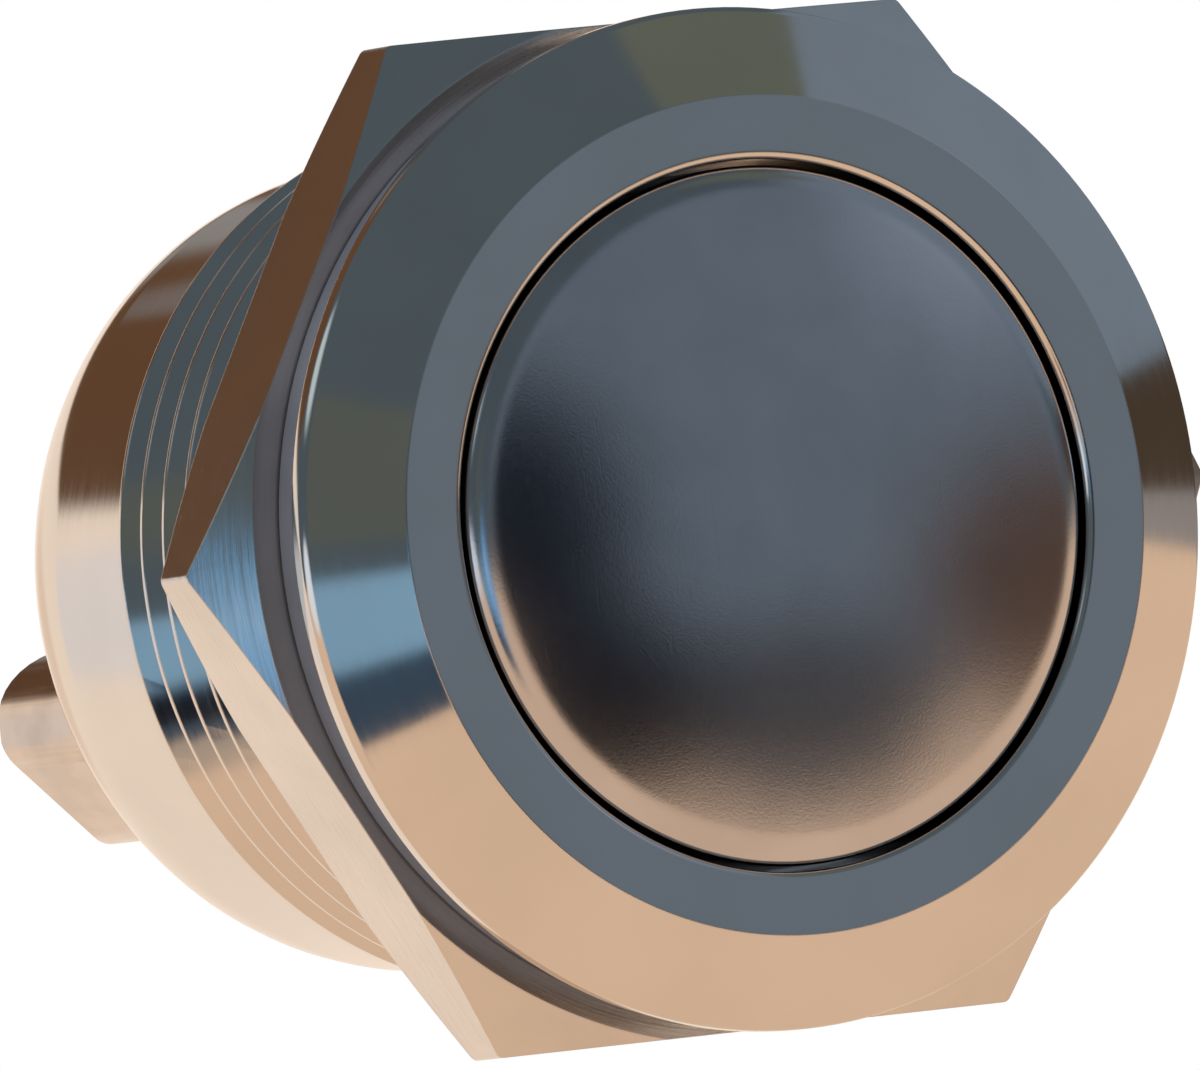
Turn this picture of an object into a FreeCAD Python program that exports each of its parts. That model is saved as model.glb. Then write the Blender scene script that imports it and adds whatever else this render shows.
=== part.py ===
import FreeCAD, Part
import math
import os
import Sketcher

# Panel-mounted pushbutton switch, M19 fine thread, in millimetres.
# The common axis is Y. The front looks towards -Y, the terminals point towards +Y and +Z is up.
# The origin is on the axis, in the rear face of the bezel's flange, where the panel seats.

SIZES = [
    # bezel and barrel
    ("thread_radius", 9.5, "crest radius of the M19 thread"),
    ("flange_width", 1.5, "how far the bezel stands out over the thread"),
    ("bezel_thick", 1.5, "front ring to the flange's seat face"),
    ("bevel_width", 1.98, "radial width of the wide front bevel"),
    ("bevel_depth", 1.04, "axial depth of the wide front bevel"),
    ("rim_break", 0.22, "width of the broken edge between bevel and rim"),
    ("hole_break", 0.18, "width of the broken edge of the button hole's mouth"),
    ("barrel_wall", 1.85, "wall of the barrel round the button hole, up to the crests"),
    ("pocket_depth", 3.6, "floor of the button pocket, behind the seat face"),
    ("web_thick", 2.4, "thickness of the web that carries the plunger"),
    ("bush_wall", 1.15, "wall of the guide bush in the web"),
    ("thread_length", 10.9, "length of the thread behind the flange"),
    ("thread_runout", 0.15, "chamfer at the end of the thread"),
    ("skirt_step", 0.63, "how much smaller the smooth skirt is than the thread"),
    ("skirt_wall", 1.67, "wall of the skirt round the contact chamber"),
    ("shoulder_radius", 4.2, "radius of the skirt's rounded rear shoulder"),
    ("shoulder_depth", 2.97, "axial depth of that shoulder"),
    # mounting hardware
    ("gasket_inset", 0.4, "how far the panel gasket stays inside the bezel's rim"),
    ("gasket_thick", 1.38, "thickness of the panel gasket"),
    ("nut_inset", 0.1, "how far the nut's flats stay inside the bezel's rim"),
    ("nut_thick", 2.5, "thickness of the nut"),
    ("nut_face_over", 0.28, "how far the nut's turned faces reach over its flats"),
    ("nut_front_slope", 0.44, "rise of the front corner chamfer per millimetre"),
    ("nut_rear_slope", 0.53, "rise of the rear corner chamfer per millimetre"),
    ("nut_edge_round", 0.12, "rounding of the six corner edges"),
    ("nut_bore_chamfer", 0.4, "countersink of the nut's bore"),
    ("thread_play", 0.05, "radial play of nut and gasket on the thread"),
    # button and plunger
    ("cap_play", 0.13, "radial gap round the button"),
    ("cap_proud", 0.1, "how far the cap's edge stands in front of the ring"),
    ("dome_height", 0.7, "height of the domed front over the cap's edge"),
    ("cap_edge_round", 0.36, "rounding of the cap's front edge, outside the dome"),
    ("cap_plate", 1.0, "thickness of the cap's front plate at its edge"),
    ("cap_wall", 0.9, "thickness of the cap's skirt"),
    ("cap_end_gap", 0.6, "space between the pressed cap's skirt and the pocket's floor"),
    ("boss_wall", 1.1, "wall of the boss behind the cap"),
    ("boss_end_gap", 0.4, "space between the pressed boss and the seat washer"),
    ("plunger_radius", 2.0, "radius of the plunger"),
    ("plunger_play", 0.05, "radial play of the plunger in its bush"),
    ("spigot_step", 0.5, "how much smaller the plunger's front spigot is"),
    ("spigot_depth", 2.2, "depth of the spigot in the boss"),
    ("plunger_land", 1.14, "length of the plunger behind its clip"),
    ("tail_step", 0.8, "how much smaller the plunger's tail is"),
    ("tail_share", 0.2, "gap between the tail's end and the carrier's rear face"),
    ("travel", 1.5, "press travel of the button"),
    # bush, clip and seal
    ("bush_flange_width", 1.2, "how far the bush's flange reaches over the web"),
    ("bush_flange_thick", 0.6, "thickness of the bush's flange"),
    ("seal_play", 0.1, "gap between the stem seal and the plunger"),
    ("clip_thick", 0.6, "thickness of the retaining clip"),
    ("clip_width", 1.75, "radial width of the retaining clip"),
    ("clip_slot", 2.5, "width of the clip's open side"),
    ("groove_depth", 0.45, "depth of the clip's groove in the plunger"),
    ("fit_gap", 0.03, "gap between fixed pieces that are pushed together"),
    # springs
    ("washer_thick", 0.3, "thickness of the spring's seat washer"),
    ("washer_gap", 0.55, "gap between that washer and the cap's skirt"),
    ("washer_play", 0.3, "gap between that washer and the plunger"),
    ("return_coil_gap", 1.58, "gap between the return spring's wire and the boss"),
    ("return_wire", 0.22, "half the thickness of the return spring's wire"),
    ("return_turns", 3.0, "turns of the return spring"),
    ("contact_coil_gap", 0.41, "gap between the contact spring's wire and the guide pin"),
    ("contact_wire", 0.14, "half the thickness of the contact spring's wire"),
    ("contact_turns", 3.0, "turns of the contact spring"),
    # moving contact
    ("carrier_radius", 3.6, "radius of the contact carrier"),
    ("carrier_thick", 1.4, "thickness of the contact carrier"),
    ("guide_radius", 0.9, "radius of the bridge's guide pin"),
    ("guide_length", 2.3, "free length of the guide pin before its head"),
    ("guide_head_width", 0.6, "how far the guide pin's head stands out"),
    ("guide_head_thick", 0.5, "thickness of that head"),
    ("guide_play", 0.08, "radial play of the bridge on its guide"),
    ("bridge_thick", 0.5, "thickness of the contact bridge"),
    ("bridge_half_width", 1.7, "half the width of the contact bridge"),
    ("tip_share", 0.3, "radius of the bridge's contact buttons, per millimetre from the axis"),
    ("tip_height", 0.4, "height of those buttons"),
    ("overtravel", 0.5, "travel after the contacts meet"),
    ("closed_gap", 0.03, "gap left between closed contacts"),
    # fixed contacts and base
    ("contact_wall_gap", 0.42, "gap between a fixed contact's head and the cup"),
    ("contact_head_share", 0.2658, "radius of a fixed contact's head, per millimetre of the cup's radius"),
    ("contact_head_height", 0.7, "height of that head over the base's floor"),
    ("contact_shank_step", 0.4, "how much smaller its shank through the base is"),
    ("contact_pin_step", 0.4, "how much smaller its pin in the terminal is"),
    ("contact_pin_length", 1.4, "length of that pin"),
    ("base_wall", 1.1, "wall of the insulating cup"),
    ("base_floor", 2.2, "floor of the insulating cup"),
    ("base_play", 0.08, "radial gap round the insulating cup"),
    ("base_seal_section", 0.4, "half the thickness of the base's O-ring"),
    ("base_seal_from_rear", 1.1, "O-ring's plane, before the base's rear face"),
    ("resin_depth", 1.34, "base's rear face to the rear face of the skirt"),
    ("resin_over", 0.18, "how far the resin stands out behind the skirt"),
    # terminals
    ("terminal_inset", 2.2545, "axis of a terminal to the wall of the contact chamber"),
    ("terminal_slope", 0.7876, "rise of the line through both terminals per millimetre"),
    ("terminal_side", 4.4, "side of a terminal's square section"),
    ("terminal_length", 5.73, "length of a terminal behind the skirt"),
    ("terminal_cut_x", 2.2, "side leg of the outer corner's cut"),
    ("terminal_cut_z", 1.925, "upright leg of the outer corner's cut"),
    ("terminal_round", 1.45, "rounding of the square corners"),
    ("terminal_cut_round", 0.9, "rounding of the cut's two corners"),
    ("wire_hole_radius", 0.6, "radius of the wire hole"),
    ("wire_hole_place", 4.75, "wire hole's axis, before the terminal's end"),
    ("screw_radius", 1.2, "radius of the clamping screw"),
    ("screw_play", 0.05, "radial play of the clamping screw in its bore"),
    ("screw_recess", 0.2, "how deep the screw lies in its bore"),
    ("screw_length", 3.4, "length of the clamping screw"),
    ("screw_slot_width", 0.4, "width of the screw's slot"),
    ("screw_slot_depth", 0.6, "depth of the screw's slot"),
]


class Size:
    """A length that knows both its value and the formula that gives it."""

    def __init__(self, value, text):
        self.value = float(value)
        self.text = text

    def joined(self, other, sign, value):
        right = other.text if isinstance(other, Size) else repr(other)
        return Size(value, "(%s %s %s)" % (self.text, sign, right))

    def __add__(self, other):
        return self.joined(other, "+", self.value + number(other))

    def __sub__(self, other):
        return self.joined(other, "-", self.value - number(other))

    def __mul__(self, other):
        return self.joined(other, "*", self.value * number(other))

    def __truediv__(self, other):
        return self.joined(other, "/", self.value / number(other))

    def __neg__(self):
        return Size(-self.value, "(0 - %s)" % self.text)


def number(size):
    return size.value if isinstance(size, Size) else float(size)


ZERO = Size(0.0, "0")


class Sizes:
    """The sheet's cells as attributes, so that a formula reads like the drawing."""

    def __init__(self, doc):
        sheet = doc.addObject("Spreadsheet::Sheet", "Sizes")
        for row, (name, value, note) in enumerate(SIZES, start=1):
            sheet.set("A%d" % row, name)
            sheet.set("B%d" % row, repr(value))
            sheet.set("C%d" % row, note)
            sheet.setAlias("B%d" % row, name)
            setattr(self, name, Size(value, "Sizes.%s" % name))
        doc.recompute()
        self.follow_radii()
        self.follow_stack()

    def follow_radii(self):
        """Radii that follow from the thread and the walls, from the outside inwards."""
        self.bezel_radius = self.thread_radius + self.flange_width
        self.ring_radius = self.bezel_radius - self.bevel_width
        self.gasket_radius = self.bezel_radius - self.gasket_inset
        self.nut_half = self.bezel_radius - self.nut_inset
        self.nut_face_radius = self.nut_half + self.nut_face_over
        self.button_hole_radius = self.thread_radius - self.barrel_wall
        self.skirt_radius = self.thread_radius - self.skirt_step
        self.chamber_radius = self.skirt_radius - self.skirt_wall
        self.cap_radius = self.button_hole_radius - self.cap_play
        self.cap_inner = self.cap_radius - self.cap_wall
        self.spigot_radius = self.plunger_radius - self.spigot_step
        self.cap_boss_radius = self.spigot_radius + self.boss_wall
        self.tail_radius = self.plunger_radius - self.tail_step
        self.bush_bore = self.plunger_radius + self.plunger_play
        self.web_bore = self.bush_bore + self.bush_wall
        self.bush_flange_radius = self.web_bore + self.bush_flange_width
        self.seal_section = (self.web_bore - self.plunger_radius - self.seal_play * 2) / 2
        self.groove_radius = self.plunger_radius - self.groove_depth
        self.clip_inner = self.groove_radius + self.fit_gap
        self.clip_radius = self.clip_inner + self.clip_width
        self.washer_radius = self.cap_inner - self.washer_gap
        self.washer_bore = self.plunger_radius + self.washer_play
        self.return_coil_radius = self.cap_boss_radius + self.return_coil_gap + self.return_wire
        self.contact_coil_radius = self.guide_radius + self.contact_coil_gap + self.contact_wire
        self.guide_head_radius = self.guide_radius + self.guide_head_width
        self.cup_outer = self.chamber_radius - self.base_play
        self.cup_inner = self.cup_outer - self.base_wall
        self.contact_head_radius = self.cup_inner * self.contact_head_share.value
        self.contact_offset = self.cup_inner - self.contact_wall_gap - self.contact_head_radius
        self.tip_radius = self.contact_offset * self.tip_share.value
        self.contact_shank_radius = self.contact_head_radius - self.contact_shank_step
        self.contact_pin_radius = self.contact_shank_radius - self.contact_pin_step
        self.terminal_half = self.terminal_side / 2
        reach = self.chamber_radius - self.terminal_inset
        slope = self.terminal_slope.value
        self.terminal_x = reach / math.hypot(1, slope)
        self.terminal_z = reach * (slope / math.hypot(1, slope))
        self.screw_bore = self.screw_radius + self.screw_play

    def follow_stack(self):
        """Planes along the axis, from the front ring back to the terminals' ends."""
        self.ring_y = -self.bezel_thick
        self.washer_front = self.pocket_depth - self.washer_thick
        self.cap_end = self.pocket_depth - self.travel - self.cap_end_gap
        self.boss_end = self.washer_front - self.travel - self.boss_end_gap
        self.web_end = self.pocket_depth + self.web_thick
        self.bush_end = self.web_end + self.bush_flange_thick
        self.bush_front = self.pocket_depth + self.seal_section * 2 + self.fit_gap * 2
        self.clip_front = self.bush_end + self.fit_gap
        self.clip_rear = self.clip_front + self.clip_thick
        self.plunger_end = self.clip_rear + self.fit_gap + self.plunger_land
        self.carrier_rear = self.plunger_end + self.carrier_thick
        self.tail_end = self.carrier_rear - self.tail_share
        self.guide_head = self.carrier_rear + self.guide_length
        self.bridge_front = self.guide_head - self.bridge_thick
        self.tips_rear = self.guide_head + self.tip_height
        self.contact_front = self.tips_rear + self.travel - self.overtravel + self.closed_gap
        self.floor_front = self.contact_front + self.contact_head_height
        self.base_rear = self.floor_front + self.base_floor
        self.skirt_end = self.base_rear + self.resin_depth
        self.skirt_straight_end = self.skirt_end - self.shoulder_depth
        self.terminal_end = self.skirt_end + self.terminal_length


def new_body(doc, label):
    body = doc.addObject("PartDesign::Body", label)
    body.Label = label
    return body


def new_sketch(body, name, role, offset=None):
    """A sketch on one of the body's own origin planes, moved along the plane's normal."""
    sketch = body.newObject("Sketcher::SketchObject", name)
    plane = [item for item in body.Origin.OriginFeatures if item.Role == role][0]
    sketch.AttachmentSupport = [(plane, "")]
    sketch.MapMode = "FlatFace"
    if offset is not None:
        sketch.setExpression("AttachmentOffset.Base.z", offset.text)
    return sketch


def place_point(sketch, curve, end, x, y):
    """Ties one point of a curve to its two distances from the sketch's origin."""
    for kind, size, axis in (("DistanceX", x, -2), ("DistanceY", y, -1)):
        if size is None:
            continue
        if abs(size.value) < 1e-9:
            sketch.addConstraint(Sketcher.Constraint("PointOnObject", curve, end, axis))
        elif size.value > 0:
            index = sketch.addConstraint(Sketcher.Constraint(kind, -1, 1, curve, end, size.value))
            sketch.setExpression("Constraints[%d]" % index, size.text)
        else:
            index = sketch.addConstraint(Sketcher.Constraint(kind, curve, end, -1, 1, -size.value))
            sketch.setExpression("Constraints[%d]" % index, (-size).text)


def corner(x, y):
    """A corner of an outline, reached by a straight line."""
    return {"x": x, "y": y}


def arc_to(x, y, centre_x, centre_y, keep, clockwise=False):
    """An arc to (x, y) about a centre. keep names the end's coordinate that is given."""
    return {"x": x, "y": y, "centre": (centre_x, centre_y), "keep": keep, "clockwise": clockwise}


def on_axis(y):
    """A corner on the axis whose height follows from the arc that starts there."""
    return {"x": ZERO, "y": y, "keep": "x"}


def draw_outline(sketch, points):
    """A closed outline of lines and arcs. The last point joins the first by a line."""
    count = len(points)
    starts = []
    for i in range(count):
        here = points[i]
        there = points[(i + 1) % count]
        a = FreeCAD.Vector(here["x"].value, here["y"].value, 0)
        b = FreeCAD.Vector(there["x"].value, there["y"].value, 0)
        if "centre" in there:
            cx, cy = there["centre"]
            middle = FreeCAD.Vector(cx.value, cy.value, 0)
            circle = Part.Circle(middle, FreeCAD.Vector(0, 0, 1), (a - middle).Length)
            first = math.atan2(a.y - middle.y, a.x - middle.x)
            last = math.atan2(b.y - middle.y, b.x - middle.x)
            if there["clockwise"]:
                curve = sketch.addGeometry(Part.ArcOfCircle(circle, last, first), False)
                starts.append((curve, 2, 1))
            else:
                curve = sketch.addGeometry(Part.ArcOfCircle(circle, first, last), False)
                starts.append((curve, 1, 2))
        else:
            curve = sketch.addGeometry(Part.LineSegment(a, b), False)
            starts.append((curve, 1, 2))
    for i in range(count):
        curve, _, end = starts[i]
        following, start, _ = starts[(i + 1) % count]
        sketch.addConstraint(Sketcher.Constraint("Coincident", curve, end, following, start))
    for i in range(count):
        here = points[i]
        curve, start, _ = starts[i]
        keep = here.get("keep", "both")
        x = here["x"] if keep in ("both", "x") else None
        y = here["y"] if keep in ("both", "y") else None
        place_point(sketch, curve, start, x, y)
        if "centre" in here:
            place_point(sketch, starts[i - 1][0], 3, here["centre"][0], here["centre"][1])


def draw_circle(sketch, x, y, radius):
    middle = FreeCAD.Vector(x.value, y.value, 0)
    circle = Part.Circle(middle, FreeCAD.Vector(0, 0, 1), radius.value)
    curve = sketch.addGeometry(circle, False)
    place_point(sketch, curve, 3, x, y)
    index = sketch.addConstraint(Sketcher.Constraint("Radius", curve, radius.value))
    sketch.setExpression("Constraints[%d]" % index, radius.text)


def turned(body, name, points, kind="Revolution"):
    """Turns an outline of (radius, y) points about the Y axis, as material or as a groove."""
    sketch = new_sketch(body, name + "_profile", "XY_Plane")
    draw_outline(sketch, points)
    feature = body.newObject("PartDesign::" + kind, name)
    feature.Profile = sketch
    feature.ReferenceAxis = (sketch, ["V_Axis"])
    feature.Angle = 360
    body.Document.recompute()
    return feature


def ring_points(inner, outer, front, rear):
    return [corner(inner, front), corner(outer, front), corner(outer, rear), corner(inner, rear)]


def rounded(body, name, feature, radius, test):
    """Rounds the edges of a feature that pass the test."""
    names = ["Edge%d" % (i + 1) for i, edge in enumerate(feature.Shape.Edges) if test(edge)]
    if not names:
        raise RuntimeError("no edge found for " + name)
    fillet = body.newObject("PartDesign::Fillet", name)
    fillet.Base = (feature, names)
    fillet.setExpression("Radius", radius.text)
    body.Document.recompute()
    return fillet


def is_along_y(edge, x, z):
    if edge.Degenerated or not isinstance(edge.Curve, Part.Line):
        return False
    a, b = edge.Vertexes[0].Point, edge.Vertexes[-1].Point
    near = abs(a.x - x) < 1e-3 and abs(a.z - z) < 1e-3
    return near and abs(a.x - b.x) < 1e-4 and abs(a.z - b.z) < 1e-4


def raised(body, name, draw, front, rear):
    """Pads a sketch drawn square to the axis, between two planes."""
    sketch = new_sketch(body, name + "_profile", "XZ_Plane", -rear)
    draw(sketch)
    pad = body.newObject("PartDesign::Pad", name)
    pad.Profile = sketch
    pad.setExpression("Length", (rear - front).text)
    body.Document.recompute()
    return pad


def sunk(body, name, draw, front, rear):
    """Cuts a sketch drawn square to the axis, between two planes, and checks that it cut."""
    before = body.Shape.Volume
    sketch = new_sketch(body, name + "_profile", "XZ_Plane", -front)
    draw(sketch)
    pocket = body.newObject("PartDesign::Pocket", name)
    pocket.Profile = sketch
    pocket.setExpression("Length", (rear - front).text)
    body.Document.recompute()
    if pocket.Shape.Volume > before - 1e-6:
        raise RuntimeError(name + " cuts nothing")
    return pocket


def housing(doc, v):
    """Bezel, threaded barrel and skirt, turned in one piece with a web across the bore."""
    body = new_body(doc, "housing")
    front = v.ring_y
    middle = v.skirt_radius - v.shoulder_radius
    reach = math.sqrt(max(v.shoulder_radius.value ** 2 - v.shoulder_depth.value ** 2, 0.0))
    bevel_end = front + v.bevel_depth
    slope = v.bevel_depth / v.bevel_width
    points = [
        corner(v.button_hole_radius, front + v.hole_break),
        corner(v.button_hole_radius + v.hole_break, front),
        corner(v.ring_radius, front),
        corner(v.bezel_radius - v.rim_break, bevel_end - v.rim_break * slope),
        corner(v.bezel_radius, bevel_end + v.rim_break / 2),
        corner(v.bezel_radius, ZERO),
        corner(v.thread_radius, ZERO),
        corner(v.thread_radius, v.thread_length - v.thread_runout),
        corner(v.thread_radius - v.thread_runout, v.thread_length),
        corner(v.skirt_radius, v.thread_length),
        corner(v.skirt_radius, v.skirt_straight_end),
        arc_to(middle + reach, v.skirt_end, middle, v.skirt_straight_end, "y"),
        corner(v.chamber_radius, v.skirt_end),
        corner(v.chamber_radius, v.web_end),
        corner(v.web_bore, v.web_end),
        corner(v.web_bore, v.pocket_depth),
        corner(v.button_hole_radius, v.pocket_depth),
    ]
    turned(body, "shell", points)
    return body


def panel_gasket(doc, v):
    body = new_body(doc, "panel_gasket")
    inner = v.thread_radius + v.thread_play
    turned(body, "gasket_ring", ring_points(inner, v.gasket_radius, ZERO, v.gasket_thick))
    return body


def hex_nut(doc, v):
    """Hexagon with two turned faces: the chamfers cut the six corners back."""
    body = new_body(doc, "hex_nut")
    front = v.gasket_thick
    rear = v.gasket_thick + v.nut_thick
    bore = v.thread_radius + v.thread_play
    tip = v.nut_half * 2 / math.sqrt(3)

    def hexagon(sketch):
        side = tip / 2
        draw_outline(sketch, [corner(tip, ZERO), corner(side, v.nut_half), corner(-side, v.nut_half),
                              corner(-tip, ZERO), corner(-side, -v.nut_half), corner(side, -v.nut_half)])

    blank = raised(body, "nut_hexagon", hexagon, front, rear)
    angles = [math.radians(60 * i) for i in range(6)]
    corners = [(tip.value * math.cos(angle), tip.value * math.sin(angle)) for angle in angles]
    rounded(body, "nut_corners", blank, v.nut_edge_round,
            lambda edge: any(is_along_y(edge, x, z) for x, z in corners))
    outer = tip + v.nut_face_over
    turned(body, "front_chamfer", [
        corner(v.nut_face_radius, front),
        corner(outer, front),
        corner(outer, front + (outer - v.nut_face_radius) * v.nut_front_slope),
    ], "Groove")
    turned(body, "rear_chamfer", [
        corner(v.nut_face_radius, rear),
        corner(outer, rear),
        corner(outer, rear - (outer - v.nut_face_radius) * v.nut_rear_slope),
    ], "Groove")
    turned(body, "nut_bore", [
        corner(ZERO, front),
        corner(bore + v.nut_bore_chamfer, front),
        corner(bore, front + v.nut_bore_chamfer),
        corner(bore, rear - v.nut_bore_chamfer),
        corner(bore + v.nut_bore_chamfer, rear),
        corner(ZERO, rear),
    ], "Groove")
    return body


def button_cap(doc, v):
    """Cup with a domed front and a boss that takes the plunger's spigot."""
    body = new_body(doc, "button_cap")
    edge = v.ring_y - v.cap_proud
    top = edge - v.dome_height
    plate = edge + v.cap_plate
    hole = v.boss_end - v.spigot_depth
    # The dome is an arc about a point on the axis: from its top on the axis out to the rounded edge.
    crown = v.cap_radius - v.cap_edge_round
    dome = (crown * crown + v.dome_height * v.dome_height) / (v.dome_height * 2)
    side = edge + v.cap_edge_round
    turned(body, "cap_cup", [
        arc_to(crown, edge, ZERO, top + dome, "both"),
        arc_to(v.cap_radius, side, crown, side, "y"),
        corner(v.cap_radius, v.cap_end),
        corner(v.cap_inner, v.cap_end),
        corner(v.cap_inner, plate),
        corner(v.cap_boss_radius, plate),
        corner(v.cap_boss_radius, v.boss_end),
        corner(v.spigot_radius, v.boss_end),
        corner(v.spigot_radius, hole),
        corner(ZERO, hole),
        on_axis(top),
    ])
    return body


def plunger(doc, v):
    """Stem with a spigot in the cap, a groove for the clip and a tail in the carrier."""
    body = new_body(doc, "plunger")
    turned(body, "stem", [
        corner(ZERO, v.boss_end - v.spigot_depth),
        corner(v.spigot_radius, v.boss_end - v.spigot_depth),
        corner(v.spigot_radius, v.boss_end),
        corner(v.plunger_radius, v.boss_end),
        corner(v.plunger_radius, v.clip_front - v.fit_gap),
        corner(v.groove_radius, v.clip_front - v.fit_gap),
        corner(v.groove_radius, v.clip_rear + v.fit_gap),
        corner(v.plunger_radius, v.clip_rear + v.fit_gap),
        corner(v.plunger_radius, v.plunger_end),
        corner(v.tail_radius, v.plunger_end),
        corner(v.tail_radius, v.tail_end),
        corner(ZERO, v.tail_end),
    ])
    return body


def guide_bush(doc, v):
    body = new_body(doc, "guide_bush")
    turned(body, "bush", [
        corner(v.bush_bore, v.bush_front),
        corner(v.web_bore, v.bush_front),
        corner(v.web_bore, v.web_end),
        corner(v.bush_flange_radius, v.web_end),
        corner(v.bush_flange_radius, v.bush_end),
        corner(v.bush_bore, v.bush_end),
    ])
    return body


def o_ring(doc, label, middle, section, y):
    """A ring of eight-sided section, turned about the axis."""
    body = new_body(doc, label)
    points = []
    for i in range(8):
        angle = math.radians(22.5 + 45 * i)
        points.append(corner(middle + section * math.cos(angle), y + section * math.sin(angle)))
    turned(body, label + "_ring", points)
    return body


def stem_seal(doc, v):
    middle = v.plunger_radius + v.seal_play + v.seal_section
    return o_ring(doc, "stem_seal", middle, v.seal_section, v.pocket_depth + v.fit_gap + v.seal_section)


def retaining_clip(doc, v):
    """Flat ring in the plunger's groove, open on one side."""
    body = new_body(doc, "retaining_clip")
    turned(body, "clip_ring", ring_points(v.clip_inner, v.clip_radius, v.clip_front, v.clip_rear))
    half = v.clip_slot / 2

    def opening(sketch):
        draw_outline(sketch, [corner(-half, ZERO), corner(half, ZERO),
                              corner(half, v.clip_radius * 1.2), corner(-half, v.clip_radius * 1.2)])

    sunk(body, "clip_opening", opening, v.clip_front, v.clip_rear)
    return body


def seat_washer(doc, v):
    body = new_body(doc, "seat_washer")
    turned(body, "washer", ring_points(v.washer_bore, v.washer_radius, v.washer_front, v.pocket_depth))
    return body


def coil(doc, label, radius, wire, turns, front, rear):
    """A compression spring of hexagonal wire between two seats."""
    body = new_body(doc, label)
    sketch = new_sketch(body, label + "_wire", "XY_Plane")
    points = []
    for i in range(6):
        angle = math.radians(60 * i)
        points.append(corner(radius + wire * math.cos(angle), front + wire + wire * math.sin(angle)))
    draw_outline(sketch, points)
    helix = body.newObject("PartDesign::AdditiveHelix", label + "_coil")
    helix.Profile = sketch
    helix.ReferenceAxis = (sketch, ["V_Axis"])
    helix.Mode = "height-turns-angle"
    helix.setExpression("Height", (rear - front - wire * 2).text)
    helix.setExpression("Turns", turns.text)
    doc.recompute()
    return body


def return_spring(doc, v):
    front = v.ring_y + v.cap_plate
    return coil(doc, "return_spring", v.return_coil_radius, v.return_wire, v.return_turns, front,
                v.washer_front)


def contact_spring(doc, v):
    return coil(doc, "contact_spring", v.contact_coil_radius, v.contact_wire, v.contact_turns,
                v.carrier_rear, v.bridge_front)


def contact_carrier(doc, v):
    body = new_body(doc, "contact_carrier")
    turned(body, "carrier", ring_points(v.tail_radius, v.carrier_radius, v.plunger_end, v.carrier_rear))
    return body


def bridge_guide(doc, v):
    """Shouldered pin behind the carrier: the bridge slides on its stem and stops at its head."""
    body = new_body(doc, "bridge_guide")
    turned(body, "guide_pin", [
        corner(ZERO, v.tail_end),
        corner(v.tail_radius, v.tail_end),
        corner(v.tail_radius, v.carrier_rear),
        corner(v.guide_radius, v.carrier_rear),
        corner(v.guide_radius, v.guide_head),
        corner(v.guide_head_radius, v.guide_head),
        corner(v.guide_head_radius, v.guide_head + v.guide_head_thick),
        corner(ZERO, v.guide_head + v.guide_head_thick),
    ])
    return body


def contact_direction(v):
    """Unit vector, in X and Z, from the axis to the right-hand terminal."""
    x, z = v.terminal_x.value, v.terminal_z.value
    length = math.hypot(x, z)
    return x / length, z / length


def turn_to_terminals(body, v):
    """Turns a piece made along X until it points at the terminals."""
    x, z = contact_direction(v)
    angle = -math.degrees(math.atan2(z, x))
    body.Placement = FreeCAD.Placement(FreeCAD.Vector(0, 0, 0), FreeCAD.Rotation(FreeCAD.Vector(0, 1, 0), angle))


def contact_bridge(doc, v):
    """Rounded strip with a hole for its guide pin."""
    body = new_body(doc, "contact_bridge")
    reach = v.contact_offset + v.tip_radius * 0.6
    half = v.bridge_half_width

    def strip(sketch):
        draw_outline(sketch, [corner(-reach, -half), corner(reach, -half), corner(reach, half),
                              corner(-reach, half)])

    bar = raised(body, "strip", strip, v.bridge_front, v.guide_head)
    places = [(a * reach.value, b * half.value) for a in (-1, 1) for b in (-1, 1)]
    rounded(body, "strip_corners", bar, half * 0.45,
            lambda edge: any(is_along_y(edge, x, z) for x, z in places))
    sunk(body, "guide_hole", lambda sketch: draw_circle(sketch, ZERO, ZERO, v.guide_radius + v.guide_play),
         v.bridge_front, v.guide_head)
    turn_to_terminals(body, v)
    return body


def bridge_tips(doc, v):
    """The two contact buttons, in one node."""
    discs = []
    x, z = contact_direction(v)
    for side, sign in (("right", 1), ("left", -1)):
        disc = doc.addObject("Part::Cylinder", "tip_" + side)
        disc.setExpression("Radius", v.tip_radius.text)
        disc.setExpression("Height", v.tip_height.text)
        disc.Placement = FreeCAD.Placement(FreeCAD.Vector(0, 0, 0),
                                           FreeCAD.Rotation(FreeCAD.Vector(1, 0, 0), -90))
        disc.setExpression("Placement.Base.x", (v.contact_offset * (sign * x)).text)
        disc.setExpression("Placement.Base.y", v.guide_head.text)
        disc.setExpression("Placement.Base.z", (v.contact_offset * (sign * z)).text)
        discs.append(disc)
    tips = doc.addObject("Part::Compound", "bridge_tips")
    tips.Label = "bridge_tips"
    tips.Links = discs
    return tips


def fixed_contact(doc, label, v, sign):
    """Stud with a broad head inside, riveted through the base into its terminal."""
    body = new_body(doc, label)
    turned(body, "stud_" + label, [
        corner(ZERO, v.contact_front),
        corner(v.contact_head_radius, v.contact_front),
        corner(v.contact_head_radius, v.floor_front),
        corner(v.contact_shank_radius, v.floor_front),
        corner(v.contact_shank_radius, v.base_rear),
        corner(v.contact_pin_radius, v.base_rear),
        corner(v.contact_pin_radius, v.base_rear + v.contact_pin_length),
        corner(ZERO, v.base_rear + v.contact_pin_length),
    ])
    x, z = contact_direction(v)
    body.setExpression("Placement.Base.x", (v.contact_offset * (sign * x)).text)
    body.setExpression("Placement.Base.z", (v.contact_offset * (sign * z)).text)
    return body


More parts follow.
